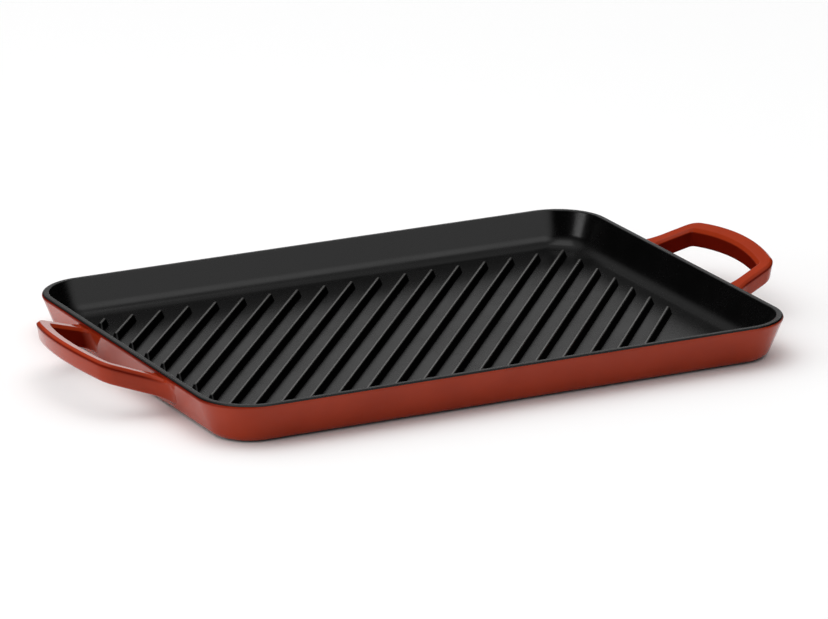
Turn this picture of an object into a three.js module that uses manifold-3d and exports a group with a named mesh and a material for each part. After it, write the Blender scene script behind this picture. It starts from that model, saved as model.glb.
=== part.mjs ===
// Enamelled cast-iron grill plate: a shallow tray with diagonal ridges across its floor and a
// loop handle rising from each short end. Black ground enamel covers the casting, and a gloss
// cover coat lies over the outside of its walls.
//
// Millimetres, +Z up, X along the tray. The origin is the middle of the underside.

import * as THREE from 'three';
import { mergeVertices } from 'three/addons/utils/BufferGeometryUtils.js';
import Module from 'manifold-3d';

const wasm = await Module();
wasm.setup();

const degrees = THREE.MathUtils.degToRad;

// Tray
const RIM_LENGTH = 360;
const RIM_WIDTH = 262;
const RIM_CORNER_RADIUS = 31.2;
const RIM_EDGE_RADIUS = 0.8;
const RIM_LIP_ROUND = 1.6;
const TRAY_HEIGHT = 23.7;
const WALL_THICKNESS = 4.8;
const WALL_DRAFT = degrees(21.8);
const FLOOR_THICKNESS = 3.6;
const BASE_ROUND = 6.5;
const COVE_RADIUS = 11;

// Cover coat
const ENAMEL_THICKNESS = 0.4;
const ENAMEL_BOND = 0.1;
const ENAMEL_LIP = degrees(38);
const ENAMEL_STOP = degrees(60);

// Ridges, counted from the tray's middle along the line square to them
const RIDGE_ANGLE = degrees(50.3);
const RIDGE_PITCH = 13.4;
const RIDGE_HEIGHT = 4.2;
const RIDGE_FOOT_WIDTH = 5;
const RIDGE_CREST_WIDTH = 2.4;
const RIDGE_NOSE = 2.4;
const RIDGE_NOSE_SHARE = 1 / 3;
const RIDGE_NOSE_TAPER = 0.5;
const RIDGE_TOE_HEIGHT = 0.6;
const RIDGE_GAP_ENDS = 8.4;
const RIDGE_GAP_SIDES = 12.1;
const SHORTEST_RIDGE = 12;
const BARE_CORNER_RIDGES = 3;

// Handles: the loop is measured in its sloping plane, and the bar's section upright
const HANDLE_REACH = 43.6;
const HANDLE_BOW = 7;
const HANDLE_ROOT_SPAN = 100.3;
const HANDLE_BAR_SPAN = 84.4;
const HANDLE_WIDTH = 9.7;
const HANDLE_THICKNESS = 11.7;
const HANDLE_BEVEL = 1.8;
const HANDLE_UNDERSIDE_ROUND = 2.2;
const HANDLE_DRAFT_OUTSIDE = degrees(10);
const HANDLE_DRAFT_INSIDE = degrees(6);
const HANDLE_CORNER_RADIUS = 7.5;
const HANDLE_TILT = degrees(18.8);
const ROOT_BELOW_LIP = 0.45;
const ROOT_FILLET_SIDE = 5.4;
const ROOT_FILLET_OUTSIDE = 10.7;
const ROOT_FILLET_TOP = 0.1;
const ROOT_FILLET_UNDER = 2.7;
const ROOT_SEAT_GAP = 0.3;
const ROOT_WINDOW_CLEARANCE = 0.3;

// Facets
const CORNER_STEPS = 8;
const ROUND_STEPS = 6;
const EDGE_STEPS = 3;
const CREST_STEPS = 4;
const HANDLE_CORNER_STEPS = 6;
const HANDLE_BOW_STEPS = 10;
const NOSE_STATIONS = [0, 0.12, 0.35, 0.65, 1];
const FILLET_STATIONS = [0, 0.08, 0.25, 0.55, 1];

// Finishes
const blackEnamel = () => new THREE.MeshStandardMaterial({ color: 0x2c2b2c, roughness: 0.55, metalness: 0 });
const redEnamel = () => new THREE.MeshStandardMaterial({ color: 0x9c3722, roughness: 0.15, metalness: 0 });

// Joins equal rings with quads. Each ring runs anticlockwise about the way the row travels. An
// open row is capped flat at both ends, and a closed row meets its own first ring.
function skin(rings, closed = false) {
  const count = rings[0].length;
  const index = [];
  const lastRow = closed ? rings.length : rings.length - 1;
  for (let row = 0; row < lastRow; row++) {
    const here = row * count;
    const next = ((row + 1) % rings.length) * count;
    for (let i = 0; i < count; i++) {
      const j = (i + 1) % count;
      index.push(here + i, here + j, next + j);
      index.push(here + i, next + j, next + i);
    }
  }
  if (!closed) {
    const end = (rings.length - 1) * count;
    for (let i = 1; i < count - 1; i++) {
      index.push(0, i + 1, i);
      index.push(end, end + i, end + i + 1);
    }
  }
  const geometry = new THREE.BufferGeometry();
  const positions = rings.flat().flatMap((point) => point.toArray());
  geometry.setAttribute('position', new THREE.Float32BufferAttribute(positions, 3));
  geometry.setIndex(index);
  return geometry;
}

// Evenly spaced values from one end of a range to the other, both ends included.
function spread(from, to, steps) {
  return Array.from({ length: steps + 1 }, (_, step) => from + ((to - from) * step) / steps);
}

function toSolid(geometry) {
  const merged = mergeVertices(geometry);
  return new wasm.Manifold(new wasm.Mesh({
    numProp: 3,
    vertProperties: merged.attributes.position.array,
    triVerts: Uint32Array.from(merged.index.array),
  }));
}

function toGeometry(solid) {
  const mesh = solid.getMesh();
  const geometry = new THREE.BufferGeometry();
  geometry.setAttribute('position', new THREE.BufferAttribute(mesh.vertProperties, 3));
  geometry.setIndex(new THREE.BufferAttribute(mesh.triVerts, 1));
  return geometry;
}

// Tray profile. A profile point says how far it lies inside the rim's outline, and how high.
const SLOPE = Math.tan(WALL_DRAFT);
const LEAN = 1 / Math.cos(WALL_DRAFT);
const SMALLEST_CORNER = 1;

// Inset of the outer face at a height: a sloping line that the rim's lip is tangent to.
function wallFace(z) {
  return RIM_LIP_ROUND * (1 - LEAN - SLOPE) + (TRAY_HEIGHT - z) * SLOPE;
}

// The round between underside and wall, by the angle of its outward normal below the horizontal.
function baseRound(angle, depth = 0) {
  const radius = BASE_ROUND - depth;
  const centre = wallFace(BASE_ROUND) + BASE_ROUND * LEAN;
  return { inset: centre - radius * Math.cos(angle), z: BASE_ROUND - radius * Math.sin(angle) };
}

// The lip, the round of the rim's outer edge, by the angle of its normal above the horizontal.
function rimLip(angle, depth = 0) {
  const radius = RIM_LIP_ROUND - depth;
  return {
    inset: RIM_LIP_ROUND - radius * Math.cos(angle),
    z: TRAY_HEIGHT - RIM_LIP_ROUND + radius * Math.sin(angle),
  };
}

// The round of the rim's inner edge, by the angle of its normal above the horizontal.
function rimInnerEdge(angle) {
  const centreZ = TRAY_HEIGHT - RIM_EDGE_RADIUS;
  const centre = wallFace(centreZ) + WALL_THICKNESS - RIM_EDGE_RADIUS * LEAN;
  return {
    inset: centre + RIM_EDGE_RADIUS * Math.cos(angle),
    z: centreZ + RIM_EDGE_RADIUS * Math.sin(angle),
  };
}

// The cove between inner wall and floor, by the same angle as the base round.
function cove(angle) {
  const centreZ = FLOOR_THICKNESS + COVE_RADIUS;
  const centre = wallFace(centreZ) + WALL_THICKNESS + COVE_RADIUS * LEAN;
  return { inset: centre - COVE_RADIUS * Math.cos(angle), z: centreZ - COVE_RADIUS * Math.sin(angle) };
}

// A rounded rectangle parallel to the rim, anticlockwise from the +X side.
function traySection({ inset, z }) {
  const radius = Math.max(RIM_CORNER_RADIUS - inset, SMALLEST_CORNER);
  const x = RIM_LENGTH / 2 - inset - radius;
  const y = RIM_WIDTH / 2 - inset - radius;
  const centres = [[x, y], [-x, y], [-x, -y], [x, -y]];
  return centres.flatMap(([centreX, centreY], quarter) =>
    spread(quarter, quarter + 1, CORNER_STEPS).map((turn) => {
      const angle = (turn * Math.PI) / 2;
      return new THREE.Vector3(centreX + radius * Math.cos(angle), centreY + radius * Math.sin(angle), z);
    }));
}

const COAT_BED = ENAMEL_THICKNESS + ENAMEL_BOND;
const UNDERSIDE = Math.PI / 2;

// One skin from the underside up the outside, over the rim and down to the floor. The wall is
// bedded back between the base and the top of the lip, so that the cover coat lies flush with both.
function trayCasting() {
  const profile = [
    ...spread(UNDERSIDE, ENAMEL_STOP, EDGE_STEPS).map((angle) => baseRound(angle)),
    ...spread(ENAMEL_STOP, WALL_DRAFT, ROUND_STEPS).map((angle) => baseRound(angle, COAT_BED)),
    ...spread(-WALL_DRAFT, ENAMEL_LIP, EDGE_STEPS).map((angle) => rimLip(angle, COAT_BED)),
    ...spread(ENAMEL_LIP, UNDERSIDE, EDGE_STEPS).map((angle) => rimLip(angle)),
    ...spread(UNDERSIDE, WALL_DRAFT, EDGE_STEPS).map(rimInnerEdge),
    ...spread(WALL_DRAFT, UNDERSIDE, ROUND_STEPS).map(cove),
  ];
  return skin(profile.map(traySection));
}

// The cover coat before its windows are cut: an even shell from the base round up over the lip.
function coatShell() {
  const foot = spread(ENAMEL_STOP - ENAMEL_BOND / BASE_ROUND, WALL_DRAFT, ROUND_STEPS);
  const head = spread(-WALL_DRAFT, ENAMEL_LIP - ENAMEL_BOND / RIM_LIP_ROUND, EDGE_STEPS);
  const layer = (depth) => [
    ...foot.map((angle) => baseRound(angle, depth)),
    ...head.map((angle) => rimLip(angle, depth)),
  ];
  return skin([...layer(0), ...layer(ENAMEL_THICKNESS).reverse()].map(traySection), true);
}

// Handle frame: X out along the loop's sloping plane, Z square to it, origin on the wall's face.
// The bar's section stands upright, as it is drawn from the mould, so it leans in this frame.
const UPRIGHT = new THREE.Vector3(Math.sin(HANDLE_TILT), 0, Math.cos(HANDLE_TILT));

// The roots' top edge keeps clear of the lip, and their fillets end on the flat of the wall.
const WALL_NORMAL = new THREE.Vector3(
  Math.cos(WALL_DRAFT + HANDLE_TILT), 0, -Math.sin(WALL_DRAFT + HANDLE_TILT));
const RISE_ON_WALL = (Math.cos(WALL_DRAFT) * Math.cos(HANDLE_TILT)) / Math.cos(WALL_DRAFT + HANDLE_TILT);
const ROOT_RISE = (HANDLE_THICKNESS / 2 + ROOT_FILLET_TOP) * RISE_ON_WALL;
const ROOT_HEIGHT = rimLip(-WALL_DRAFT).z - ROOT_BELOW_LIP - ROOT_RISE;
const ROOM_UNDER_ROOT = (ROOT_HEIGHT - baseRound(WALL_DRAFT).z) / RISE_ON_WALL - HANDLE_THICKNESS / 2;
const UNDER_FILLET = THREE.MathUtils.clamp(ROOM_UNDER_ROOT - ROOT_WINDOW_CLEARANCE, 0, ROOT_FILLET_UNDER);

function placeHandle(object) {
  object.position.set(RIM_LENGTH / 2 - wallFace(ROOT_HEIGHT), 0, ROOT_HEIGHT);
  object.rotation.y = -HANDLE_TILT;
  return object;
}

// Round of the bar's lower edge on its +X side, from the drafted side to the underside. It is
// tangent to both, and the side starts below the bevel.
function lowerEdge(draft) {
  const round = HANDLE_UNDERSIDE_ROUND;
  const drop = HANDLE_THICKNESS - HANDLE_BEVEL - round;
  const centreX = HANDLE_WIDTH / 2 - (round + drop * Math.sin(draft)) / Math.cos(draft);
  const centreY = round - HANDLE_THICKNESS / 2;
  return spread(draft, UNDERSIDE, EDGE_STEPS).map((angle) => new THREE.Vector2(
    centreX + round * Math.cos(angle), centreY - round * Math.sin(angle)));
}

// Bar section, anticlockwise from the top's edge: bevelled above, drafted at the sides and rounded
// below. The loop's outside is at +X.
function barSection() {
  const side = HANDLE_WIDTH / 2;
  const half = HANDLE_THICKNESS / 2;
  return [
    new THREE.Vector2(side - HANDLE_BEVEL, half),
    new THREE.Vector2(HANDLE_BEVEL - side, half),
    new THREE.Vector2(-side, half - HANDLE_BEVEL),
    ...lowerEdge(HANDLE_DRAFT_INSIDE).map(({ x, y }) => new THREE.Vector2(-x, y)),
    ...lowerEdge(HANDLE_DRAFT_OUTSIDE).reverse(),
    new THREE.Vector2(side, half - HANDLE_BEVEL),
  ];
}

// Centreline of the loop in its plane: two straight arms that close in towards a bowed bar, with
// an arc tangent to both at each corner.
function loopPath() {
  const middle = HANDLE_REACH - HANDLE_WIDTH / 2;
  const corner = new THREE.Vector2(middle - HANDLE_BOW, HANDLE_BAR_SPAN / 2);
  const root = new THREE.Vector2(0, HANDLE_ROOT_SPAN / 2);
  const bowRadius = (corner.y ** 2 + HANDLE_BOW ** 2) / (2 * HANDLE_BOW);
  const bowCentre = new THREE.Vector2(middle - bowRadius, 0);
  const arm = corner.clone().sub(root).normalize();
  const inward = new THREE.Vector2(arm.y, -arm.x);
  const start = root.clone().addScaledVector(inward, HANDLE_CORNER_RADIUS).sub(bowCentre);
  const along = start.dot(arm);
  const reach = bowRadius - HANDLE_CORNER_RADIUS;
  const run = Math.sqrt(along ** 2 - start.lengthSq() + reach ** 2) - along;
  const centre = bowCentre.clone().add(start).addScaledVector(arm, run);
  const bowAngle = centre.clone().sub(bowCentre).angle();
  const armAngle = inward.clone().negate().angle();
  return {
    root,
    arm,
    arcs: [
      { curve: new THREE.ArcCurve(centre.x, centre.y, HANDLE_CORNER_RADIUS, armAngle, bowAngle, true),
        steps: HANDLE_CORNER_STEPS },
      { curve: new THREE.ArcCurve(bowCentre.x, 0, bowRadius, bowAngle, -bowAngle, true),
        steps: HANDLE_BOW_STEPS },
      { curve: new THREE.ArcCurve(centre.x, -centre.y, HANDLE_CORNER_RADIUS, -bowAngle, -armAngle, true),
        steps: HANDLE_CORNER_STEPS },
    ],
  };
}

// Ring of the bar section about a point of the path, upright and across the tangent there.
function barRing(section, point, tangent) {
  return section.map(({ x, y }) =>
    new THREE.Vector3(point.x - tangent.y * x, point.y + tangent.x * x, 0).addScaledVector(UPRIGHT, y));
}

// Growth of a quarter-round fillet at some share of its radius above the face.
function filletGrowth(share) {
  return 1 - Math.sqrt(1 - (1 - share) ** 2);
}

// Ring of an arm near the wall's face, with a clearance all round. It has climbed a share of the
// fillets, each side its own, less the depth that it is sunk below the face.
function rootRing(section, { root, way: arm }, { climb = 0, sink = 0, clearance = 0 }) {
  const way = new THREE.Vector3(arm.x, arm.y, 0);
  const across = new THREE.Vector3(-arm.y, arm.x, 0);
  const growth = filletGrowth(climb);
  return section.map((corner) => {
    const outward = corner.clone().normalize();
    const level = outward.x > 0 ? ROOT_FILLET_OUTSIDE : ROOT_FILLET_SIDE;
    const upright = outward.y > 0 ? ROOT_FILLET_TOP : UNDER_FILLET;
    const point = new THREE.Vector3(root.x, root.y, 0);
    point.addScaledVector(across, corner.x + outward.x * (growth * level + clearance));
    point.addScaledVector(UPRIGHT, corner.y + outward.y * (growth * upright + clearance));
    const run = (climb * level - sink - point.dot(WALL_NORMAL)) / way.dot(WALL_NORMAL);
    return point.addScaledVector(way, run);
  });
}

// Depth of an arm's seat below the wall's face, just off the bedded wall.
const SEAT_DEPTH = COAT_BED - ROOT_SEAT_GAP;

function rootRings(section, arm) {
  return [
    rootRing(section, arm, { sink: SEAT_DEPTH }),
    ...FILLET_STATIONS.map((climb) => rootRing(section, arm, { climb })),
  ];
}

// The arm on one side of the loop, as its place on the wall and the way it is travelled.
function armAt(side, path) {
  return {
    root: new THREE.Vector2(path.root.x, side * path.root.y),
    way: new THREE.Vector2(side * path.arm.x, path.arm.y),
  };
}

function loopHandle() {
  const section = barSection();
  const path = loopPath();
  const bar = path.arcs.flatMap(({ curve, steps }, arc) => spread(0, 1, steps)
    .slice(arc === 0 ? 0 : 1)
    .map((share) => barRing(section, curve.getPoint(share), curve.getTangent(share))));
  return skin([
    ...rootRings(section, armAt(1, path)),
    ...bar,
    ...rootRings(section, armAt(-1, path)).reverse(),
  ]);
}

// Plugs that pass through the coat where the arms of one handle root in the wall.
function rootPlugs() {
  const section = barSection();
  const path = loopPath();
  const plug = (side, depths) => skin(depths.map((sink) =>
    rootRing(section, armAt(side, path), { sink, clearance: ROOT_WINDOW_CLEARANCE })));
  return [plug(1, [COAT_BED, -ENAMEL_THICKNESS]), plug(-1, [-ENAMEL_THICKNESS, COAT_BED])];
}

function outerEnamel() {
  let coat = toSolid(coatShell());
  for (const turn of [0, Math.PI]) {
    const end = new THREE.Group();
    end.rotation.z = turn;
    for (const plug of rootPlugs()) {
      const cutter = placeHandle(new THREE.Mesh(plug));
      end.add(cutter);
      end.updateMatrixWorld(true);
      coat = coat.subtract(toSolid(plug.applyMatrix4(cutter.matrixWorld)));
    }
  }
  return toGeometry(coat);
}

// Ridge section, anticlockwise about the ridge's run: a wide foot and a rounded crest.
function ridgeSection() {
  const crest = RIDGE_CREST_WIDTH / 2;
  return [
    new THREE.Vector2(-RIDGE_FOOT_WIDTH / 2, 0),
    new THREE.Vector2(RIDGE_FOOT_WIDTH / 2, 0),
    ...spread(0, Math.PI, CREST_STEPS).map((angle) => new THREE.Vector2(
      crest * Math.cos(angle), RIDGE_HEIGHT - crest + crest * Math.sin(angle))),
  ];
}

// A straight ridge along X, standing on Z = 0. Each end is a nose that rounds down and narrows to
// a low toe, and takes no more than its share of a short ridge.
function ridge(length) {
  const nose = Math.min(RIDGE_NOSE, length * RIDGE_NOSE_SHARE);
  const toe = RIDGE_TOE_HEIGHT / RIDGE_HEIGHT;
  const station = (share, end) => {
    const rise = toe + (1 - toe) * Math.sqrt(1 - (1 - share) ** 2);
    const narrow = 1 - RIDGE_NOSE_TAPER * (1 - rise);
    return { x: end * (length / 2 - nose * share), rise, narrow };
  };
  const stations = [
    ...NOSE_STATIONS.map((share) => station(share, -1)),
    ...NOSE_STATIONS.map((share) => station(share, 1)).reverse(),
  ];
  const section = ridgeSection();
  return skin(stations.map(({ x, rise, narrow }) =>
    section.map((corner) => new THREE.Vector3(x, corner.x * narrow, corner.y * rise))));
}

// Ridges cross a rectangle on the flat of the floor. Each lies a pitch from the last, and the
// last few before the +X -Y corner are left out, so that corner of the floor is bare.
function ridgeRuns() {
  const flat = cove(UNDERSIDE).inset;
  const halfX = RIM_LENGTH / 2 - flat - RIDGE_GAP_ENDS;
  const halfY = RIM_WIDTH / 2 - flat - RIDGE_GAP_SIDES;
  const run = new THREE.Vector2(Math.cos(RIDGE_ANGLE), Math.sin(RIDGE_ANGLE));
  const square = new THREE.Vector2(run.y, -run.x);
  const furthest = halfX * square.x - halfY * square.y;
  const count = Math.floor(furthest / RIDGE_PITCH);
  const runs = spread(-count, count, 2 * count).map((place) => {
    const foot = square.clone().multiplyScalar(place * RIDGE_PITCH);
    const from = Math.max((-halfX - foot.x) / run.x, (-halfY - foot.y) / run.y);
    const to = Math.min((halfX - foot.x) / run.x, (halfY - foot.y) / run.y);
    return { middle: foot.addScaledVector(run, (from + to) / 2), length: to - from };
  });
  const whole = runs.filter(({ length }) => length > SHORTEST_RIDGE);
  return whole.slice(0, whole.length - BARE_CORNER_RIDGES);
}

function named(name, geometry, material) {
  const mesh = new THREE.Mesh(geometry, material);
  mesh.name = name;
  return mesh;
}

const grillPlate = new THREE.Group();
grillPlate.add(named('tray_casting', trayCasting(), blackEnamel()));
grillPlate.add(named('outer_enamel', outerEnamel(), redEnamel()));

for (const [name, turn] of [['right_handle', 0], ['left_handle', Math.PI]]) {
  const end = new THREE.Group();
  end.rotation.z = turn;
  end.add(placeHandle(named(name, loopHandle(), redEnamel())));
  grillPlate.add(end);
}

ridgeRuns().forEach(({ middle, length }, place) => {
  const bar = named(`ridge_${String(place + 1).padStart(2, '0')}`, ridge(length), blackEnamel());
  bar.position.set(middle.x, middle.y, FLOOR_THICKNESS);
  bar.rotation.z = RIDGE_ANGLE;
  grillPlate.add(bar);
});

export default grillPlate;
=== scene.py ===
"""Looks of an enamelled cast-iron grill plate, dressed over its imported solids.

The plate is a shallow tray with diagonal ridges across its floor and a loop handle rising from each
short end. Black ground enamel covers the tray's inside, rim and underside, and a gloss red cover coat
its outer walls and the handles. Every surface is worked out on a numpy grid, in metres, in the frame
of the solids: X along the tray, Z up, origin in the middle of the underside.
"""

import logging
import math
from dataclasses import dataclass
from enum import Enum

import bmesh
import bpy
import numpy as np
from mathutils import Matrix, Vector
from numpy.typing import NDArray


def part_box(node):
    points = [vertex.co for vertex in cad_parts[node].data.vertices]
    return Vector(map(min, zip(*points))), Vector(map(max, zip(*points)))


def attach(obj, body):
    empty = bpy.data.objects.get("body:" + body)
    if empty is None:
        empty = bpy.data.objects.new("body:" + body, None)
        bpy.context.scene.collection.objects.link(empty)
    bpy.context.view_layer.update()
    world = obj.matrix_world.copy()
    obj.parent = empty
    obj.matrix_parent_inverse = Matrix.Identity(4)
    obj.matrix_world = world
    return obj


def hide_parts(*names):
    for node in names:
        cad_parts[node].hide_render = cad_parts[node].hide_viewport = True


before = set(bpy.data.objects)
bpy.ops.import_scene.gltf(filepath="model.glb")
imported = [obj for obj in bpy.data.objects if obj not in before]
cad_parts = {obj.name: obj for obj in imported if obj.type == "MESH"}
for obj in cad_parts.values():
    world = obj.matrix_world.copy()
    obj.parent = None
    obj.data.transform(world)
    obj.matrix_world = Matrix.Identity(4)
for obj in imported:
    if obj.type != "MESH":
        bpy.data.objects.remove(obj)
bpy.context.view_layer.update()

Array = NDArray[np.float64]
Colour = tuple[float, float, float]
Direction = tuple[float, float, float]
Setting = float | int | str | bool | Colour

log = logging.getLogger("grill_plate")

BODY = "root"
# Point attribute of painted light: painted shade on the red coat, a painted highlight on the ridges' crests.
PAINTED_LIGHT_LABEL = "painted_light"
DULLNESS = "dullness"
CREASE = math.radians(50)
MERGE_DISTANCE = 1e-7


class Slot(Enum):
    """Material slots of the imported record."""

    GROUND = "black_enamel"
    COVER = "cover_enamel"
    HANDLE = "handle_enamel"


class End(Enum):
    """The two short ends of the tray, as the sign of X and Y that turns a handle there."""

    RIGHT = 1
    LEFT = -1


def arc(centre: tuple[float, float], radius: float, start: float, stop: float, steps: int) -> Array:
    """Points of a round stretch, one to a row: centre + radius * (cos a, sin a), with a spread evenly."""
    angle = np.linspace(start, stop, steps + 1)
    return np.column_stack([centre[0] + radius * np.cos(angle), centre[1] + radius * np.sin(angle)])


def eased(steps: int) -> Array:
    """Shares of a straight stretch, ends left out and closer together towards them: (1 - cos(pi k/n)) / 2."""
    return (1 - np.cos(np.pi * np.arange(1, steps) / steps)) / 2


def straight(start: Array, stop: Array, steps: int) -> Array:
    """Straight stretch between two points or rows, both left out: start + share * (stop - start)."""
    share = eased(steps).reshape((-1,) + (1,) * start.ndim)
    return start + share * (stop - start)


@dataclass(frozen=True)
class Outline:
    """Closed line round a rounded rectangle, as anchors on its inner line and outward normals.

    Attributes:
        anchors: Corner centres and the points between them, n by 2.
        normals: Unit outward normals, n by 2.
    """

    anchors: Array
    normals: Array

    @classmethod
    def rounded(cls, length: float, width: float, corner_steps: int, side_steps: int) -> "Outline":
        """Outline round the rectangle of its corner centres, anticlockwise from the +X side.

        At each corner the anchor rests while the normal turns a quarter, and along each side the
        normal rests while the anchor travels.

        Args:
            length: Distance between corner centres along X.
            width: Distance between corner centres along Y.
            corner_steps: Chords to a corner.
            side_steps: Parts to a side.

        Returns:
            The outline.
        """
        centres = np.array([[1, 1], [-1, 1], [-1, -1], [1, -1]]) * [length / 2, width / 2]
        anchors, normals = [], []
        for quarter, centre in enumerate(centres):
            turn = arc((0, 0), 1, quarter * np.pi / 2, (quarter + 1) * np.pi / 2, corner_steps)
            side = straight(centre, centres[(quarter + 1) % len(centres)], side_steps)
            anchors += [np.tile(centre, (len(turn), 1)), side]
            normals += [turn, np.tile(turn[-1], (len(side), 1))]
        return cls(np.concatenate(anchors), np.concatenate(normals))

    def carry(self, profile: Array) -> Array:
        """Surface of a profile carried round the line: anchor + reach * normal, at the profile's height.

        Args:
            profile: Reach from the anchors and height, one point to a row.

        Returns:
            Grid of points: profile by outline by xyz.
        """
        plan = self.anchors + profile[:, 0, None, None] * self.normals
        height = np.broadcast_to(profile[:, 1, None, None], plan.shape[:2] + (1,))
        return np.concatenate([plan, height], axis=2)


@dataclass(frozen=True)
class Skin:
    """Grid of points whose columns close on themselves, ready to become a mesh.

    Attributes:
        points: Rows by columns by xyz. A row runs anticlockwise about the way the rows travel.
        joined: Whether the last row meets the first.
        first_cap: Whether a flat face closes the first row.
        last_cap: Whether a flat face closes the last row.
        painted_light: Share of painted light at each point, from 0 to 1: painted shade on the red coat, a
            painted highlight on the ridges' crests.
        dullness: How far the coat lacks its gloss at each point, from 0 to 1.
    """

    points: Array
    joined: bool = False
    first_cap: bool = False
    last_cap: bool = False
    painted_light: Array | None = None
    dullness: Array | None = None

    def faces(self) -> list[list[int]]:
        """Quads between neighbouring rows, and the caps.

        Returns:
            Corner numbers of each face.
        """
        rows, columns, _ = self.points.shape
        row = np.arange(rows if self.joined else rows - 1)[:, None]
        column = np.arange(columns)[None, :]
        beside = (column + 1) % columns
        above = (row + 1) % rows
        here, there = row * columns, above * columns
        corners = np.broadcast_arrays(here + column, here + beside, there + beside, there + column)
        faces = np.stack(corners, axis=-1).reshape(-1, 4).tolist()
        if self.first_cap:
            faces.append(list(range(columns))[::-1])
        if self.last_cap:
            faces.append(list(range((rows - 1) * columns, rows * columns)))
        return faces

    def piece(self, name: str) -> bpy.types.Object:
        """Object of the grid, with doubled points merged and shaded smooth except across a crease.

        Args:
            name: The piece's name.

        Returns:
            The object, at the origin.
        """
        mesh = bpy.data.meshes.new(name)
        mesh.from_pydata(self.points.reshape(-1, 3).tolist(), [], self.faces())
        for label, values in ((PAINTED_LIGHT_LABEL, self.painted_light), (DULLNESS, self.dullness)):
            if values is not None:
                layer = mesh.attributes.new(label, "FLOAT", "POINT")
                layer.data.foreach_set("value", values.ravel())
        work = bmesh.new()
        work.from_mesh(mesh)
        bmesh.ops.remove_doubles(work, verts=work.verts, dist=MERGE_DISTANCE)
        work.to_mesh(mesh)
        work.free()
        mesh.polygons.foreach_set("use_smooth", np.ones(len(mesh.polygons), dtype=bool))
        mesh.set_sharp_from_angle(angle=CREASE)
        piece = bpy.data.objects.new(name, mesh)
        bpy.context.scene.collection.objects.link(piece)
        return piece


def dress(piece: bpy.types.Object, finish: bpy.types.Material, slot: Slot, *nodes: str) -> None:
    """Gives a piece its finish and hands it over to the frame.

    Args:
        piece: The finished object.
        finish: Its material.
        slot: The record's slot for it; not used.
        *nodes: The solids that it stands for.
    """
    piece.data.materials.append(finish)
    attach(piece, BODY)
    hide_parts(*nodes)
    log.info("%s: %d faces for %s", piece.name, len(piece.data.polygons), ", ".join(nodes))


class Value:
    """Number socket of a shader tree. Arithmetic on it adds Math nodes."""

    def __init__(self, graph: "Graph", socket: bpy.types.NodeSocket) -> None:
        """Wraps a socket of a graph."""
        self.graph = graph
        self.socket = socket

    def math(self, operation: str, other: "Value | float") -> "Value":
        """Result of a Math node on this value and another, by Blender's name for the operation."""
        node = self.graph.node("ShaderNodeMath", {"operation": operation}, {0: self, 1: other})
        return Value(self.graph, node.outputs[0])

    def __add__(self, other: "Value | float") -> "Value":
        """Sum."""
        return self.math("ADD", other)

    def __sub__(self, other: "Value | float") -> "Value":
        """Difference."""
        return self.math("SUBTRACT", other)

    def __mul__(self, other: "Value | float") -> "Value":
        """Product."""
        return self.math("MULTIPLY", other)

    def __pow__(self, other: float) -> "Value":
        """Power."""
        return self.math("POWER", other)

    def larger(self, other: "Value | float") -> "Value":
        """The larger of two values."""
        return self.math("MAXIMUM", other)


Link = Value | bpy.types.NodeSocket | float | Colour


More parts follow.
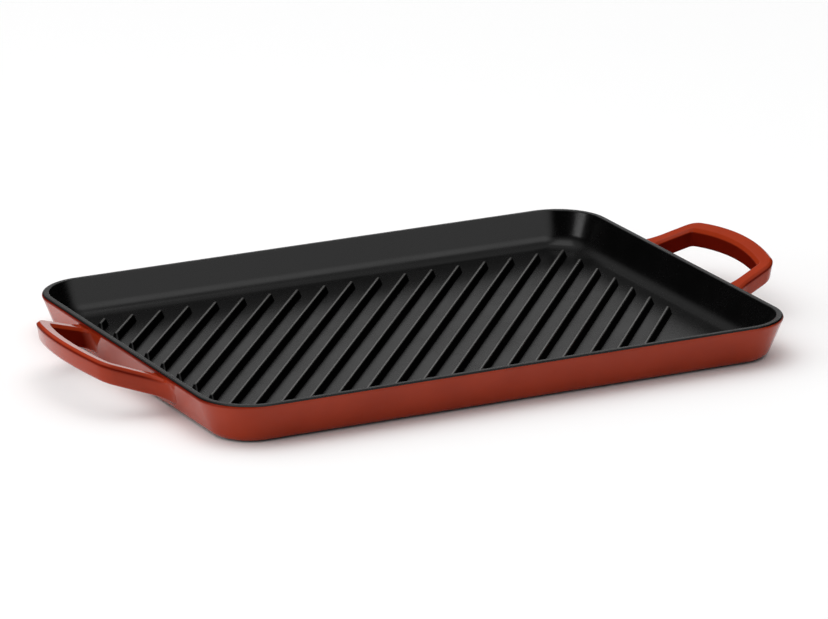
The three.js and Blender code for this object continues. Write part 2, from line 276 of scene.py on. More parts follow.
class Graph:
    """Node tree of one material or of the world, emptied and ready to fill."""

    def __init__(self, tree: bpy.types.NodeTree) -> None:
        """Empties a tree."""
        self.tree = tree
        tree.nodes.clear()

    def node(self, kind: str, settings: dict[str, Setting], inputs: dict[str | int, Link]) -> bpy.types.Node:
        """Adds a node, sets it and then feeds its sockets.

        Args:
            kind: Blender's name for the node.
            settings: Its own properties.
            inputs: Numbers, colours or links, by socket identifier, name or place.

        Returns:
            The node.
        """
        node = self.tree.nodes.new(kind)
        for name, value in settings.items():
            setattr(node, name, value)
        for key, value in inputs.items():
            socket = node.inputs[key] if isinstance(key, int) else self.find(node.inputs, key)
            if isinstance(value, Value):
                self.tree.links.new(value.socket, socket)
            elif isinstance(value, bpy.types.NodeSocket):
                self.tree.links.new(value, socket)
            elif socket.type == "RGBA":
                socket.default_value = (*value, 1.0)
            else:
                socket.default_value = value
        return node

    @staticmethod
    def find(sockets: bpy.types.NodeInputs | bpy.types.NodeOutputs, key: str) -> bpy.types.NodeSocket:
        """Socket of that identifier or name."""
        return next(socket for socket in sockets if key in (socket.identifier, socket.name))

    def output(
        self, kind: str, settings: dict[str, Setting], inputs: dict[str | int, Link], key: str,
    ) -> Value:
        """Adds a node and wraps its output of that identifier or name."""
        return Value(self, self.find(self.node(kind, settings, inputs).outputs, key))

    def place(self) -> Value:
        """Object coordinates, in metres."""
        return self.output("ShaderNodeTexCoord", {}, {}, "Object")

    def noise(self, size: float, detail: float, contrast: float = 0.5) -> Value:
        """Cloudy noise on Object coordinates.

        Args:
            size: Width of its largest patches.
            detail: Number of finer layers.
            contrast: Weight of the finer layers.

        Returns:
            Values about a half.
        """
        settings = {"noise_dimensions": "3D"}
        inputs = {"Vector": self.place(), "Scale": 1 / size, "Detail": detail, "Roughness": contrast}
        return self.output("ShaderNodeTexNoise", settings, inputs, "Fac")

    def blend(self, share: Value, first: Link, second: Link) -> bpy.types.NodeSocket:
        """Colour between two colours.

        Args:
            share: 0 for the first colour, 1 for the second.
            first: First colour.
            second: Second colour.

        Returns:
            The mixed colour.
        """
        settings = {"data_type": "RGBA", "clamp_factor": True}
        inputs = {"Factor_Float": share, "A_Color": first, "B_Color": second}
        return self.output("ShaderNodeMix", settings, inputs, "Result_Color").socket

    def stretch(self, value: Value, low: float, high: float, to_low: float, to_high: float) -> Value:
        """Value carried in a straight line from one range to another, and held at its ends."""
        inputs = {"Value": value, "From Min": low, "From Max": high, "To Min": to_low, "To Max": to_high}
        return self.output("ShaderNodeMapRange", {"clamp": True}, inputs, "Result")

    def attribute(self, label: str) -> Value:
        """Value that a piece's points carry under that name, or 0 where they carry none."""
        return self.output("ShaderNodeAttribute", {"attribute_name": label}, {}, "Fac")

    def relief(self, height: Value, depth: float) -> bpy.types.NodeSocket:
        """Normal of a fine relief, of that height times a depth in metres."""
        inputs = {"Height": height, "Distance": depth, "Strength": 1.0}
        return self.node("ShaderNodeBump", {}, inputs).outputs[0]

    def facing(self, towards: Direction) -> Value:
        """Cosine of the angle between the direction that is looked at and another one.

        Args:
            towards: The other direction, of any length.

        Returns:
            The cosine.
        """
        looked = self.output("ShaderNodeTexCoord", {}, {}, "Generated")
        inputs = {0: looked, 1: tuple(Vector(towards).normalized())}
        return self.output("ShaderNodeVectorMath", {"operation": "DOT_PRODUCT"}, inputs, "Value")

    def principled(self, inputs: dict[str | int, Link]) -> bpy.types.Node:
        """Principled shader with these sockets set."""
        return self.node("ShaderNodeBsdfPrincipled", {}, inputs)

    def matt(self, colour: Link, roughness: float) -> bpy.types.Node:
        """Shader of a coat without gloss."""
        return self.principled({"Base Color": colour, "Roughness": roughness, "Specular IOR Level": 0.0})

    def mixed(self, share: Value, first: bpy.types.Node, second: bpy.types.Node) -> bpy.types.Node:
        """Shader between two shaders, the first at share 0 and the second at 1."""
        return self.node("ShaderNodeMixShader", {}, {"Fac": share, 1: first.outputs[0], 2: second.outputs[0]})

    def surface(self, shader: bpy.types.Node) -> None:
        """Joins a shader to the tree's output."""
        self.node("ShaderNodeOutputMaterial", {}, {"Surface": shader.outputs[0]})


def new_material(name: str) -> tuple[bpy.types.Material, Graph]:
    """Makes an empty node material.

    Args:
        name: Its name.

    Returns:
        The material and its graph.
    """
    material = bpy.data.materials.new(name)
    material.use_nodes = True
    return material, Graph(material.node_tree)


@dataclass(frozen=True)
class GroundEnamel:
    """Satin black ground enamel, fine-grained, fired straight on the rough casting, dull in places, and with
    a painted highlight on the ridges' crests.

    Attributes:
        dark: Colour where the coat is thick.
        worn: Colour of the greyer clouds.
        crest_highlight: Colour of the painted highlight on the ridges' crests.
        smooth: Roughness of the slickest patches.
        dull: Roughness of the dullest patches.
        specular: Strength of the satin gloss.
        cloud: Width of the clouds.
        cloud_contrast: Weight of the clouds' finer layers.
        cloud_part: The clouds' part in the roughness. The grain has the rest.
        colour_range: Noise values between which the colour changes.
        rough_range: Noise values between which the roughness changes.
        grain: Width of the casting's grain.
        pebble: Width of the coat's pebbles.
        grain_depth: Height of the grain.
    """

    dark: Colour = (0.0005, 0.0005, 0.0005)
    worn: Colour = (0.0011, 0.0010, 0.0010)
    crest_highlight: Colour = (0.060, 0.058, 0.056)
    smooth: float = 0.20
    dull: float = 0.30
    specular: float = 0.5
    cloud: float = 0.035
    cloud_contrast: float = 0.6
    cloud_part: float = 0.6
    colour_range: tuple[float, float] = (0.35, 0.7)
    rough_range: tuple[float, float] = (0.35, 0.65)
    grain: float = 0.0011
    pebble: float = 0.0045
    grain_depth: float = 0.00003

    def material(self) -> bpy.types.Material:
        """Material of the coat.

        Returns:
            The material.
        """
        material, graph = new_material(Slot.GROUND.value)
        cloud = graph.noise(self.cloud, detail=4, contrast=self.cloud_contrast)
        grain = graph.noise(self.grain, detail=2)
        pebble = graph.noise(self.pebble, detail=3)
        coat = graph.blend(graph.stretch(cloud, *self.colour_range, 0, 1), self.dark, self.worn)
        # Painted highlight: the ridges' crests take a lighter colour where their painted-light share is up.
        colour = graph.blend(graph.attribute(PAINTED_LIGHT_LABEL), coat, self.crest_highlight)
        patch = cloud * self.cloud_part + grain * (1 - self.cloud_part)
        satin = graph.principled({
            "Base Color": colour,
            "Roughness": graph.stretch(patch, *self.rough_range, self.smooth, self.dull),
            "Normal": graph.relief((grain + pebble) * 0.5, self.grain_depth),
            "Specular IOR Level": self.specular,
        })
        graph.surface(graph.mixed(graph.attribute(DULLNESS), satin, graph.matt(colour, self.dull)))
        return material


@dataclass(frozen=True)
class CoverEnamel:
    """Gloss red cover enamel, a little wavy, and dark and dull where painted shade lies on it.

    Attributes:
        slot: The record's slot that it dresses.
        thick: Colour where the coat is thick.
        thin_coat_and_lip_shade: Colour where the coat lies thinner, in random clouds.
        shade_colour: Colour of the painted shade.
        specular: Strength of the gloss.
        roughness: Roughness of the fired gloss.
        dull: Roughness where the painted shade lies.
        cloud: Width of the colour's clouds.
        colour_range: Noise values between which the colour changes.
        peel: Width of the surface's waves.
        peel_depth: Height of the waves.
    """

    slot: Slot
    thick: Colour = (0.345, 0.0345, 0.0095)
    thin_coat_and_lip_shade: Colour = (0.305, 0.0290, 0.0076)
    shade_colour: Colour = (0.120, 0.0060, 0.0020)
    specular: float = 0.2
    roughness: float = 0.07
    dull: float = 0.5
    cloud: float = 0.03
    colour_range: tuple[float, float] = (0.35, 0.65)
    peel: float = 0.006
    peel_depth: float = 0.00001

    def material(self) -> bpy.types.Material:
        """Material of the coat.

        Returns:
            The material.
        """
        material, graph = new_material(self.slot.value)
        cloud = graph.noise(self.cloud, detail=3)
        peel = graph.noise(self.peel, detail=2)
        gloss = graph.principled({
            "Base Color": graph.blend(graph.stretch(cloud, *self.colour_range, 0, 1), self.thin_coat_and_lip_shade, self.thick),
            "Roughness": self.roughness,
            "Normal": graph.relief(peel, self.peel_depth),
            "Specular IOR Level": self.specular,
        })
        # Painted shade: a dark, matt red where the painted-light share is up.
        graph.surface(graph.mixed(graph.attribute(PAINTED_LIGHT_LABEL), gloss, graph.matt(self.shade_colour, self.dull)))
        return material


@dataclass
class Tray:
    """The casting's shallow tray and the cover coat on its walls.

    A profile point is how far it lies outside the rim's outline, less than nothing on the inside, and
    its height. Rounds are arcs by the angle of their outward normal above the horizontal.

    Attributes:
        length: Rim's length along X.
        width: Rim's width along Y.
        height: Rim's height.
        corner_radius: Radius of the rim's corners in plan.
        edge_radius: Round of the rim's inner edge.
        lip: Round of the rim's outer edge.
        wall: Thickness of the wall, measured level.
        draft: Lean of the walls from upright.
        floor: Thickness of the floor.
        base_round: Round between underside and wall.
        cove_radius: Round between inner wall and floor.
        coat: Thickness of the cover coat.
        bond: Gap between the coat and its bed.
        coat_lip: Angle at which the coat stops on the lip.
        coat_stop: Angle at which the coat stops on the base round.
        level: Width of the level strip beside a flat floor or underside.
        lip_shade_drop: Drop below the coat's upper edge over which painted shade fades out on the tray's
            ends.
    """

    length: float
    width: float
    height: float
    corner_radius: float = 0.0312
    edge_radius: float = 0.0008
    lip: float = 0.0016
    wall: float = 0.0048
    draft: float = math.radians(21.8)
    floor: float = 0.0036
    base_round: float = 0.0065
    cove_radius: float = 0.011
    coat: float = 0.0004
    bond: float = 0.0001
    coat_lip: float = math.radians(38)
    coat_stop: float = math.radians(-60)
    level: float = 0.001
    lip_shade_drop: float = 0.0016

    @classmethod
    def from_frame(cls) -> "Tray":
        """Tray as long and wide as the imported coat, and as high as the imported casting."""
        low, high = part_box("outer_enamel")
        return cls(high.x - low.x, high.y - low.y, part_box("tray_casting")[1].z)

    @property
    def lean(self) -> float:
        """Level distance per distance square to the wall."""
        return 1 / math.cos(self.draft)

    def wall_face(self, z: float) -> float:
        """Place of the wall's outer face at a height: the sloping line that the lip touches."""
        slope = math.tan(self.draft)
        return self.lip * (self.lean + slope - 1) - (self.height - z) * slope

    def base_arc(self, start: float, stop: float, depth: float, steps: int) -> Array:
        """Stretch of the base round, some depth below its face."""
        centre = (self.wall_face(self.base_round) - self.base_round * self.lean, self.base_round)
        return arc(centre, self.base_round - depth, start, stop, steps)

    def lip_arc(self, start: float, stop: float, depth: float, steps: int) -> Array:
        """Stretch of the lip, some depth below its face."""
        return arc((-self.lip, self.height - self.lip), self.lip - depth, start, stop, steps)

    @property
    def wall_top(self) -> float:
        """Height at which the wall's flat face ends and the lip starts."""
        return self.height - self.lip * (1 + math.sin(self.draft))

    def outline(self) -> Outline:
        """The rim's outline.

        Returns:
            The outline, with its anchors one corner radius inside the rim.
        """
        length = self.length - 2 * self.corner_radius
        width = self.width - 2 * self.corner_radius
        return Outline.rounded(length, width, corner_steps=28, side_steps=24)

    def carry(self, profile: Array) -> Array:
        """Surface of a profile carried round the rim's outline."""
        return self.outline().carry(profile + [self.corner_radius, 0])

    def casting(self) -> Skin:
        """The casting, from the underside up its outside, over the rim and down to the floor.

        Returns:
            The surface, closed by the underside and the floor.
        """
        rise = self.height - self.edge_radius
        inner_edge = self.wall_face(rise) - self.wall + self.edge_radius * self.lean
        cove_height = self.floor + self.cove_radius
        cove_centre = self.wall_face(cove_height) - self.wall - self.cove_radius * self.lean
        bed = self.coat + self.bond
        right = math.pi / 2
        base = self.base_arc(-right, self.coat_stop, depth=0, steps=8)
        bed_round = self.base_arc(self.coat_stop, -self.draft, bed, steps=12)
        bed_lip = self.lip_arc(-self.draft, self.coat_lip, bed, steps=8)
        outer = self.lip_arc(self.coat_lip, right, depth=0, steps=10)
        inner = arc((inner_edge, rise), self.edge_radius, right, math.pi - self.draft, steps=10)
        cove = arc((cove_centre, cove_height), self.cove_radius, -self.draft, -right, steps=28)
        profile = np.concatenate([
            base[:1] - [self.level, 0],
            base,
            bed_round,
            straight(bed_round[-1], bed_lip[0], steps=4),
            bed_lip,
            outer,
            straight(outer[-1], inner[0], steps=6),
            inner,
            straight(inner[-1], cove[0], steps=10),
            cove,
            cove[-1:] - [self.level, 0],
        ])
        return Skin(self.carry(profile), first_cap=True, last_cap=True)

    def cover(self) -> Skin:
        """The cover coat, an even shell with round edges: its middle line, half its thickness to each side.

        Below its upper edge it carries painted shade of sqrt(1 - d) times the square of the normal's X, with
        d the drop as a share of the lip shade drop. So the painted shade lies on the tray's ends, not on its
        long sides.

        Returns:
            The surface, closed round its profile.
        """
        half = self.coat / 2
        stop = self.coat_stop + (self.bond + half) / self.base_round
        top = self.coat_lip - (self.bond + half) / self.lip
        foot_end = self.base_arc(stop, stop, half, steps=1)[0]
        head_end = self.lip_arc(top, top, half, steps=1)[0]
        face_round = self.base_arc(stop, -self.draft, depth=0, steps=16)
        face_lip = self.lip_arc(-self.draft, top, depth=0, steps=10)
        back_lip = self.lip_arc(top, -self.draft, self.coat, steps=10)
        back_round = self.base_arc(-self.draft, stop, self.coat, steps=16)
        head = arc(tuple(head_end), half, top, top + math.pi, steps=8)
        foot = arc(tuple(foot_end), half, stop - math.pi, stop, steps=8)
        profile = np.concatenate([
            face_round,
            straight(face_round[-1], face_lip[0], steps=14),
            face_lip,
            head[1:-1],
            back_lip,
            straight(back_lip[-1], back_round[0], steps=6),
            back_round,
            foot[1:-1],
        ])
        # Painted shade under the lip, on the tray's ends only.
        thin_coat_and_lip_shade = np.clip(1 - (profile[:, 1].max() - profile[:, 1]) / self.lip_shade_drop, 0, 1)
        ends = self.outline().normals[:, 0] ** 2
        return Skin(self.carry(profile), joined=True, painted_light=np.sqrt(thin_coat_and_lip_shade)[:, None] * ends)

    def build(self, ground: bpy.types.Material, cover: bpy.types.Material) -> None:
        """Makes and dresses the casting and its coat."""
        dress(self.casting().piece("tray"), ground, Slot.GROUND, "tray_casting")
        dress(self.cover().piece("cover_coat"), cover, Slot.COVER, "outer_enamel")


@dataclass
class Ridge:
    """A straight ridge on the floor: its profile carried along a line and round both of its ends.

    Attributes:
        middle: Middle of the ridge on the floor.
        length: Length along the floor.
        angle: Direction in plan.
        height: Height of the crest.
        foot_width: Width that its flanks have on the floor.
        crest_radius: Round of the crest.
        foot_fillet: Round between flank and floor.
        sink: Depth of its underside below the floor.
        crest_highlight: Depth below the crest's top over which the painted highlight lies.
        flank_dullness: How far the flanks lack the coat's gloss.
    """

    middle: Array
    length: float
    angle: float
    height: float
    foot_width: float = 0.005
    crest_radius: float = 0.0012
    foot_fillet: float = 0.00015
    sink: float = 0.00005
    crest_highlight: float = 0.0004
    flank_dullness: float = 0.85

    @classmethod
    def from_frame(cls, node: str, angle: float) -> "Ridge":
        """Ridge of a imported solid, measured along its own direction.

        Args:
            node: The solid's name.
            angle: The ridges' direction in plan.

        Returns:
            The ridge.
        """
        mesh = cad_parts[node].data
        points = np.empty(len(mesh.vertices) * 3, dtype=np.float32)
        mesh.vertices.foreach_get("co", points)
        points = points.reshape(-1, 3).astype(float)
        low, high = points.min(axis=0), points.max(axis=0)
        along = points[:, :2] @ [math.cos(angle), math.sin(angle)]
        middle = np.array([*(low + high)[:2] / 2, low[2]])
        return cls(middle, float(np.ptp(along)), angle, float(high[2] - low[2]))

    def profile(self) -> Array:
        """Half of the section, from the floor up: foot fillet, straight flank and crest.

        The flank touches the crest's circle and meets the floor at half the foot's width. That fixes
        the angle of its normal, and the fillet touches both floor and flank.

        Returns:
            Reach from the middle line and height, one point to a row.
        """
        half = self.foot_width / 2
        shoulder = self.height - self.crest_radius
        span = math.hypot(shoulder, half)
        normal = math.acos(self.crest_radius / span) - math.atan2(shoulder, half)
        toe = half + self.foot_fillet * (1 - math.sin(normal)) / math.cos(normal)
        fillet = arc((toe, self.foot_fillet), self.foot_fillet, -math.pi / 2, normal - math.pi, steps=8)
        crest = arc((0, shoulder), self.crest_radius, normal, math.pi / 2, steps=8)
        return np.concatenate([
            [[toe, -self.sink]],
            fillet,
            straight(fillet[-1], crest[0], steps=5),
            crest,
        ])

    def skin(self) -> Skin:
        """The ridge's surface, turned and moved to its place.

        With d the depth below the crest's top as a share of the crest highlight's depth, a painted highlight
        lies on the crest by 1 - d and the flanks are dull by a share of d - 1, both kept from 0 to 1. The
        round ends keep their gloss.

        Returns:
            The surface, closed by its underside.
        """
        outline = Outline.rounded(self.length - self.foot_width, 0, corner_steps=10, side_steps=10)
        points = outline.carry(self.profile())
        depth = (self.height - points[..., 2]) / self.crest_highlight
        # Painted highlight along the crest, fading out over the crest highlight's depth.
        painted_light = np.clip(1 - depth, 0, 1)
        dullness = self.flank_dullness * np.clip(depth - 1, 0, 1) * outline.normals[:, 1] ** 2
        turn = np.array(Matrix.Rotation(self.angle, 3, "Z"))
        return Skin(points @ turn.T + self.middle, first_cap=True, painted_light=painted_light, dullness=dullness)


@dataclass
class RidgeField:
    """All the ridges on the tray's floor.

    Attributes:
        angle: Their direction in plan.
        prefix: Start of their solids' names.
    """

    angle: float = math.radians(50.3)
    prefix: str = "ridge_"

    def build(self, ground: bpy.types.Material) -> None:
        """Makes and dresses each ridge over its own solid.

        Args:
            ground: Finish of the ridges.
        """
        for node in sorted(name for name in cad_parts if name.startswith(self.prefix)):
            ridge = Ridge.from_frame(node, self.angle)
            dress(ridge.skin().piece(node.replace(self.prefix, "grill_rib_")), ground, Slot.GROUND, node)


@dataclass
class LoopHandle:
    """A loop handle, its section carried along arms, corners and a bowed bar in one sloping plane.

    The loop is measured in that plane: X out along it, Y along the tray's end, Z square to it. The
    section stands upright, as it is drawn from the mould, so it leans in the plane's frame.

    Attributes:
        tray: The tray that carries it.
        end: The end of the tray where it stands.
        reach: From the wall to the bar's outer face.
        bow: How far the bar's middle stands out beyond its ends.
        root_span: Between the arms' middle lines at the wall.
        bar_span: Between the corners of the middle line.
        width: Width of the section.
        thickness: Thickness of the section.
        bevel: Width of the bevels beside the top.
        bevel_round: Round of the bevels' edges.
        underside_round: Round of the lower edges.
        draft_outside: Lean of the section's side on the loop's outside.
        draft_inside: Lean of its side on the loop's inside.
        corner_radius: Radius of the middle line at the corners.
        tilt: Slope of the plane.
        below_lip: Gap between the roots' top edge and the foot of the lip.
        fillet_side: Fillet between an arm's inner side and the wall.
        fillet_outside: Fillet between an arm's outer side and the wall.
        fillet_top: Growth of the fillet upwards.
        fillet_under: Growth of the fillet downwards.
        seat: Depth of the roots below the wall's face.
        shade_fade: Drop over which the painted shade fades in inside the loop.
        shade_line_drop: How far below the bevel the painted dark line outside lies.
        shade_line_reach: Half width of that line.
        corner_points: Points of the middle line in each corner.
        bar_points: Points of the middle line between the corners.
        fillet_rings: Rings of a root's fillet.
        fillet_crowding: How much closer they lie towards the wall.
        unshaded_rings: Rings at each root without painted shade.
        shade_onset_rings: Rings after those over which the painted shade comes in.
    """

    tray: Tray
    end: End
    reach: float = 0.0436
    bow: float = 0.007
    root_span: float = 0.1003
    bar_span: float = 0.0844
    width: float = 0.0097
    thickness: float = 0.0117
    bevel: float = 0.0018
    bevel_round: float = 0.0012
    underside_round: float = 0.0022
    draft_outside: float = math.radians(10)
    draft_inside: float = math.radians(6)
    corner_radius: float = 0.0075
    tilt: float = math.radians(18.8)
    below_lip: float = 0.00045
    fillet_side: float = 0.0054
    fillet_outside: float = 0.0107
    fillet_top: float = 0.0001
    fillet_under: float = 0.0022
    seat: float = 0.0002
    shade_fade: float = 0.0006
    shade_line_drop: float = 0.0004
    shade_line_reach: float = 0.0009
    corner_points: int = 17
    bar_points: int = 47
    fillet_rings: int = 15
    fillet_crowding: float = 1.6
    unshaded_rings: int = 4
    shade_onset_rings: int = 10

    @property
    def upright(self) -> Array:
        """The upright in the frame of the loop's plane."""
        return np.array([math.sin(self.tilt), 0, math.cos(self.tilt)])

    def section(self) -> Array:
        """Section of the bar, anticlockwise: a polygon whose corners are rounded by arcs.

        At a corner that turns by an angle t, an arc of radius r starts and stops r tan(t/2) from it.

        Returns:
            Points across and up, one to a row.
        """
        side, half = self.width / 2, self.thickness / 2
        shoulder = half - self.bevel
        drop = shoulder + half
        inner_foot = drop * math.tan(self.draft_inside) - side
        outer_foot = side - drop * math.tan(self.draft_outside)
        corners = np.array([
            [side - self.bevel, half], [self.bevel - side, half], [-side, shoulder],
            [inner_foot, -half], [outer_foot, -half], [side, shoulder],
        ])
        edge, under = self.bevel_round, self.underside_round
        radii = [edge, edge, edge, under, under, edge]
        ahead = np.roll(corners, -1, axis=0) - corners
        heading = np.arctan2(ahead[:, 1], ahead[:, 0])
        before = np.roll(heading, 1)
        turn = (heading - before) % (2 * np.pi)
        arcs = []
        for corner, radius, start, angle in zip(corners, radii, before, turn):
            back = radius * math.tan(angle / 2)
            middle = corner - back * np.array([math.cos(start), math.sin(start)])
            middle += radius * np.array([-math.sin(start), math.cos(start)])
            first = start - math.pi / 2
            arcs.append(arc(tuple(middle), radius, first, first + angle, steps=6))
        stretches = [straight(one[-1], other[0], steps=4) for one, other in zip(arcs, arcs[1:] + arcs[:1])]
        return np.concatenate([part for pair in zip(arcs, stretches) for part in pair])

    def path(self) -> tuple[Array, Array, Array, Array]:
        """Middle line of corners and bar: arcs that touch each other and the straight arms.

        The corner's centre lies a corner radius inside the arm's line, and a bow radius less a corner
        radius from the bow's centre, which gives a quadratic for its place along the arm.

        Returns:
            Points, tangents, the root of the first arm and the arm's direction.
        """
        middle = self.reach - self.width / 2
        corner = np.array([middle - self.bow, self.bar_span / 2])
        root = np.array([0, self.root_span / 2])
        bow_radius = (corner[1] ** 2 + self.bow**2) / (2 * self.bow)
        bow_centre = np.array([middle - bow_radius, 0])
        arm = (corner - root) / np.linalg.norm(corner - root)
        inward = np.array([arm[1], -arm[0]])
        start = root + inward * self.corner_radius - bow_centre
        along = start @ arm
        run = math.sqrt(along**2 - start @ start + (bow_radius - self.corner_radius) ** 2) - along
        centre = bow_centre + start + arm * run
        bow_angle = math.atan2(*(centre - bow_centre)[::-1])
        arm_angle = math.atan2(-inward[1], -inward[0])
        first = np.linspace(arm_angle, bow_angle, self.corner_points)
        bar = np.linspace(bow_angle, -bow_angle, self.bar_points + 2)[1:-1]
        angles = np.concatenate([first, bar, -first[::-1]])
        counts = [self.corner_points, self.bar_points, self.corner_points]
        radii = np.repeat([self.corner_radius, bow_radius, self.corner_radius], counts)
        centres = np.repeat([centre, bow_centre, centre * [1, -1]], counts, axis=0)
        points = centres + radii[:, None] * np.column_stack([np.cos(angles), np.sin(angles)])
        tangents = np.column_stack([np.sin(angles), -np.cos(angles)])
        return points, tangents, root, arm

    def root_rings(self, section: Array, root: Array, arm: Array) -> Array:
        """Rings where one arm grows into the wall, each in a plane parallel to the wall's face.

        A point of the section is pushed out by its share of the fillet, 1 - sqrt(1 - (1 - h)^2) where
        it has climbed a share h of it, and slid along the arm to that height over the face. The
        fillet's radius goes in a straight line from the inner side's to the outer side's.

        Args:
            section: Section of the bar.
            root: The arm's place on the wall.
            arm: The arm's direction away from the wall.

        Returns:
            Rings from the seat outwards, by section, by xyz.
        """
        climb = np.linspace(0, 1, self.fillet_rings) ** self.fillet_crowding
        share = np.concatenate([[0], climb])[:, None]
        growth = 1 - np.sqrt(1 - (1 - share) ** 2)
        lean = self.tray.draft + self.tilt
        normal = np.array([math.cos(lean), 0, -math.sin(lean)])
        outward = section / np.linalg.norm(section, axis=1, keepdims=True)
        middle = (self.fillet_outside + self.fillet_side) / 2
        spread = (self.fillet_outside - self.fillet_side) / 2
        level = middle + spread * outward[:, 0]
        upright = np.where(outward[:, 1] > 0, self.fillet_top, self.fillet_under)
        across = section[:, 0] + growth * outward[:, 0] * level
        up = section[:, 1] + growth * outward[:, 1] * upright
        plan = np.stack([root[0] - arm[1] * across, root[1] + arm[0] * across, 0 * across], axis=-1)
        points = plan + up[..., None] * self.upright
        height = share * level
        height[0] = -self.seat
        run = (height - points @ normal) / (arm @ normal[:2])
        return points + run[..., None] * np.array([*arm, 0])

    def rings(self) -> Array:
        """All rings of the section, from one root round the loop to the other.

        Returns:
            Rings by section by xyz, in the loop's plane.
        """
        section = self.section()
        points, tangents, root, arm = self.path()
        across = np.stack([-tangents[:, 1], tangents[:, 0]], axis=-1)
        plan = points[:, None] + section[None, :, :1] * across[:, None]
        loop = np.pad(plan, ((0, 0), (0, 0), (0, 1))) + section[None, :, 1:] * self.upright
        first = self.root_rings(section, root, arm)
        last = self.root_rings(section, root * [1, -1], arm * [-1, 1])[::-1]
        out, back = straight(first[-1], loop[0], steps=8), straight(loop[-1], last[0], steps=8)
        return np.concatenate([first, out, loop, back, last])

    def painted_light(self, rings: int) -> Array:
        """How much painted shade lies: fully inside the loop, and as a painted dark line along the outer
        bevel's lower edge.

        Inside, it goes from 0 to 1 over a short drop below the bevel. At the edge, it is
        exp(-(d / reach)^2) where d is the distance to the edge. Towards each root it fades to 0.

        Args:
            rings: Number of rings of the section.

        Returns:
            Values by ring by section.
        """
        section = self.section()
        shoulder = self.thickness / 2 - self.bevel
        # Painted shade on the loop's inner side, and a painted dark line under the outer bevel.
        inside = np.clip((shoulder + self.shade_fade / 2 - section[:, 1]) / self.shade_fade, 0, 1) * (section[:, 0] < 0)
        away = np.linalg.norm(section - [self.width / 2, shoulder - self.shade_line_drop], axis=1)
        edge = np.exp(-((away / self.shade_line_reach) ** 2))
        ring = np.arange(rings)
        from_root = np.minimum(ring, rings - 1 - ring)
        onset = np.clip((from_root - self.unshaded_rings) / self.shade_onset_rings, 0, 1)
        return onset[:, None] * np.maximum(inside, edge)

    def skin(self) -> Skin:
        """The handle's surface, tilted up from the wall and turned to its end of the tray.

        Returns:
            The surface, closed at both roots.
        """
        lean = self.tray.draft + self.tilt
        climb = math.cos(self.tray.draft) * math.cos(self.tilt) / math.cos(lean)
        rise = (self.thickness / 2 + self.fillet_top) * climb
        root_height = self.tray.wall_top - self.below_lip - rise
        foot = [self.tray.length / 2 + self.tray.wall_face(root_height), 0, root_height]
        tilt = np.array(Matrix.Rotation(-self.tilt, 3, "Y"))
        points = self.rings() @ tilt.T + foot
        turned = points * [self.end.value, self.end.value, 1]
        return Skin(turned, first_cap=True, last_cap=True, painted_light=self.painted_light(len(points)))

    def build(self, cover: bpy.types.Material) -> None:
        """Makes and dresses the handle over its own solid."""
        side = self.end.name.lower()
        dress(self.skin().piece(f"{side}_loop"), cover, Slot.HANDLE, f"{side}_handle")


@dataclass(frozen=True)
class Lamp:
    """Rectangular soft box, aimed at a point.

    Attributes:
        name: Its name.
        towards: Direction from the plate to the lamp.
        distance: How far away it stands.
        size: Width and height.
        power: Power in watts.
    """

    name: str
    towards: Direction
    distance: float
    size: tuple[float, float]
    power: float

    def build(self) -> None:
        """Hangs the lamp, facing the plate."""
        data = bpy.data.lights.new(self.name, "AREA")
        data.shape = "RECTANGLE"
        data.size, data.size_y = self.size
        data.energy = self.power
        lamp = bpy.data.objects.new(self.name, data)
        away = Vector(self.towards).normalized()
        lamp.location = away * self.distance
        lamp.rotation_euler = away.to_track_quat("Z", "Y").to_euler()
        bpy.context.scene.collection.objects.link(lamp)


@dataclass(frozen=True)
class Glow:
    """Round bright patch of the surround, fading out at its edge.

    Attributes:
        towards: Direction from the plate to its middle.
        inner: Angle from the middle within which it has its full level.
        outer: Angle at which it has faded out.
        strength: Its full level.
    """

    towards: Direction
    inner: float
    outer: float
    strength: float

    def level(self, graph: Graph) -> Value:
        """Level in the direction that is looked at."""
        facing = graph.facing(self.towards)
        return graph.stretch(facing, math.cos(self.outer), math.cos(self.inner), 0.0, self.strength)


@dataclass(frozen=True)
class Dome:
    """Soft light, brightest in one direction: base + rise * (cosine of the angle from it) ^ power.

    Attributes:
        towards: The brightest direction.
        base: Level at a right angle to it and beyond.
        rise: How much brighter it is there.
        power: How fast it falls off.
    """

    towards: Direction
    base: float
    rise: float
    power: float

    def level(self, graph: Graph) -> Value:
        """Level in the direction that is looked at."""
        return graph.facing(self.towards).larger(0) ** self.power * self.rise + self.base


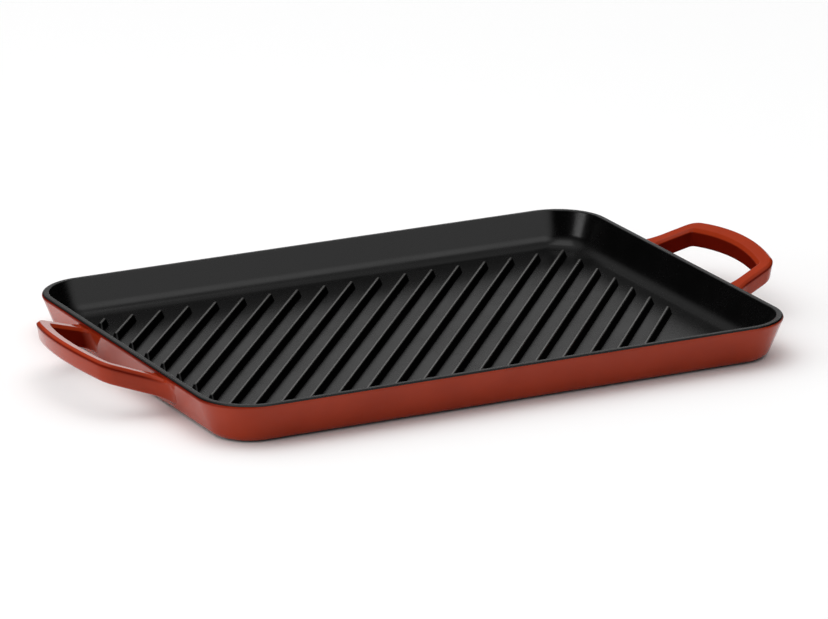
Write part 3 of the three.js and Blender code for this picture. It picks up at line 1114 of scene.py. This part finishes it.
@dataclass
class Studio:
    """Camera, white floor, soft surround and soft boxes.

    Attributes:
        azimuth: Camera's angle round the plate.
        elevation: Camera's angle above the level.
        distance: From the camera to the rim's plane, along the view.
        aside: The camera's shift to its right.
        above: The camera's shift upwards in its own frame.
        lens: Focal length in millimetres on the default sensor.
        sight: How far the camera sees.
        floor_size: Side of the floor.
        floor_colour: Colour of the floor.
        floor_roughness: Roughness of its slight sheen.
        floor_specular: Strength of that sheen.
        dome: Soft light from all round.
        dim: Level of the dark surround in reflections.
        glows: Bright patches of the surround in reflections.
        lamps: The soft boxes.
    """

    azimuth: float = math.radians(-27.13)
    elevation: float = math.radians(17.32)
    distance: float = 3.499
    aside: float = 0.00193
    above: float = -0.00413
    lens: float = 269.74
    sight: float = 35.0
    floor_size: float = 24.0
    floor_colour: Colour = (0.95, 0.95, 0.95)
    floor_roughness: float = 0.6
    floor_specular: float = 0.1
    dome: Dome = Dome((-0.15, 0.38, 0.91), 0.22, 1.67, 2.0)
    dim: float = 0.002
    glows: tuple[Glow, ...] = (
        Glow((0.36, -0.88, 0.31), math.radians(22), math.radians(34), 0.80),
        Glow((0.35, -0.62, 0.70), math.radians(12), math.radians(24), 1.25),
        Glow((0.36, 0.885, 0.29), math.radians(9), math.radians(17), 0.37),
        Glow((0.58, 0.725, 0.365), math.radians(3), math.radians(7), 1.10),
        Glow((-0.03, 0.85, 0.52), math.radians(2), math.radians(20), 0.21),
        Glow((-0.05, 0.10, 1.00), math.radians(35), math.radians(50), 0.30),
        Glow((0.50, 0.865, 0.01), math.radians(5), math.radians(9), 1.05),
    )
    lamps: tuple[Lamp, ...] = (
        Lamp("side_box", (-0.96, 0.05, 0.28), 1.6, (0.75, 0.7), 4),
        Lamp("top_box", (-0.08, 0.08, 1.00), 1.6, (1.1, 1.1), 3),
    )

    def camera(self, rim_height: float) -> None:
        """Sets up the camera, looking level with its own frame at the middle of the rim's plane.

        Args:
            rim_height: Height of the rim's plane.
        """
        turn, rise = self.azimuth, self.elevation
        back = Vector((math.sin(turn) * math.cos(rise), -math.cos(turn) * math.cos(rise), math.sin(rise)))
        right = Vector((math.cos(turn), math.sin(turn), 0))
        data = bpy.data.cameras.new("camera")
        data.lens = self.lens
        data.clip_end = self.sight
        camera = bpy.data.objects.new("camera", data)
        up = back.cross(right)
        middle = Vector((0, 0, rim_height))
        camera.location = middle + right * self.aside + up * self.above + back * self.distance
        camera.rotation_euler = Matrix((right, up, back)).transposed().to_euler()
        bpy.context.scene.collection.objects.link(camera)
        bpy.context.scene.camera = camera

    def floor(self) -> None:
        """Lays the white floor."""
        half = self.floor_size / 2
        corners = [(-half, -half, 0), (half, -half, 0), (half, half, 0), (-half, half, 0)]
        mesh = bpy.data.meshes.new("floor")
        mesh.from_pydata(corners, [], [(0, 1, 2, 3)])
        floor = bpy.data.objects.new("floor", mesh)
        bpy.context.scene.collection.objects.link(floor)
        material, graph = new_material("floor")
        graph.surface(graph.principled({
            "Base Color": self.floor_colour,
            "Roughness": self.floor_roughness,
            "Specular IOR Level": self.floor_specular,
        }))
        mesh.materials.append(material)

    def surround(self) -> None:
        """Sets the world: a soft white dome, but dim with bright patches in reflections."""
        world = bpy.data.worlds.new("surround")
        world.use_nodes = True
        bpy.context.scene.world = world
        graph = Graph(world.node_tree)
        rays = graph.node("ShaderNodeLightPath", {}, {})
        mirrored = Value(graph, rays.outputs["Is Glossy Ray"])
        level = mirrored * self.dim
        for glow in self.glows:
            level = level.larger(glow.level(graph))
        soft = self.dome.level(graph)
        strength = soft + mirrored * (level - soft)
        background = graph.node("ShaderNodeBackground", {}, {"Color": (1, 1, 1), "Strength": strength})
        graph.node("ShaderNodeOutputWorld", {}, {"Surface": background.outputs[0]})

    def build(self, rim_height: float) -> None:
        """Sets up the whole studio.

        Args:
            rim_height: Height of the rim's plane.
        """
        self.camera(rim_height)
        self.floor()
        self.surround()
        for lamp in self.lamps:
            lamp.build()
        bpy.context.scene.view_settings.view_transform = "Standard"


def main() -> None:
    """Builds the studio and the plate's pieces in order."""
    logging.basicConfig(level=logging.INFO, format="%(message)s")
    tray = Tray.from_frame()
    Studio().build(tray.height)
    ground = GroundEnamel().material()
    tray.build(ground, CoverEnamel(Slot.COVER).material())
    RidgeField().build(ground)
    handle_finish = CoverEnamel(Slot.HANDLE).material()
    for end in End:
        LoopHandle(tray, end).build(handle_finish)


if __name__ == "__main__":
    main()
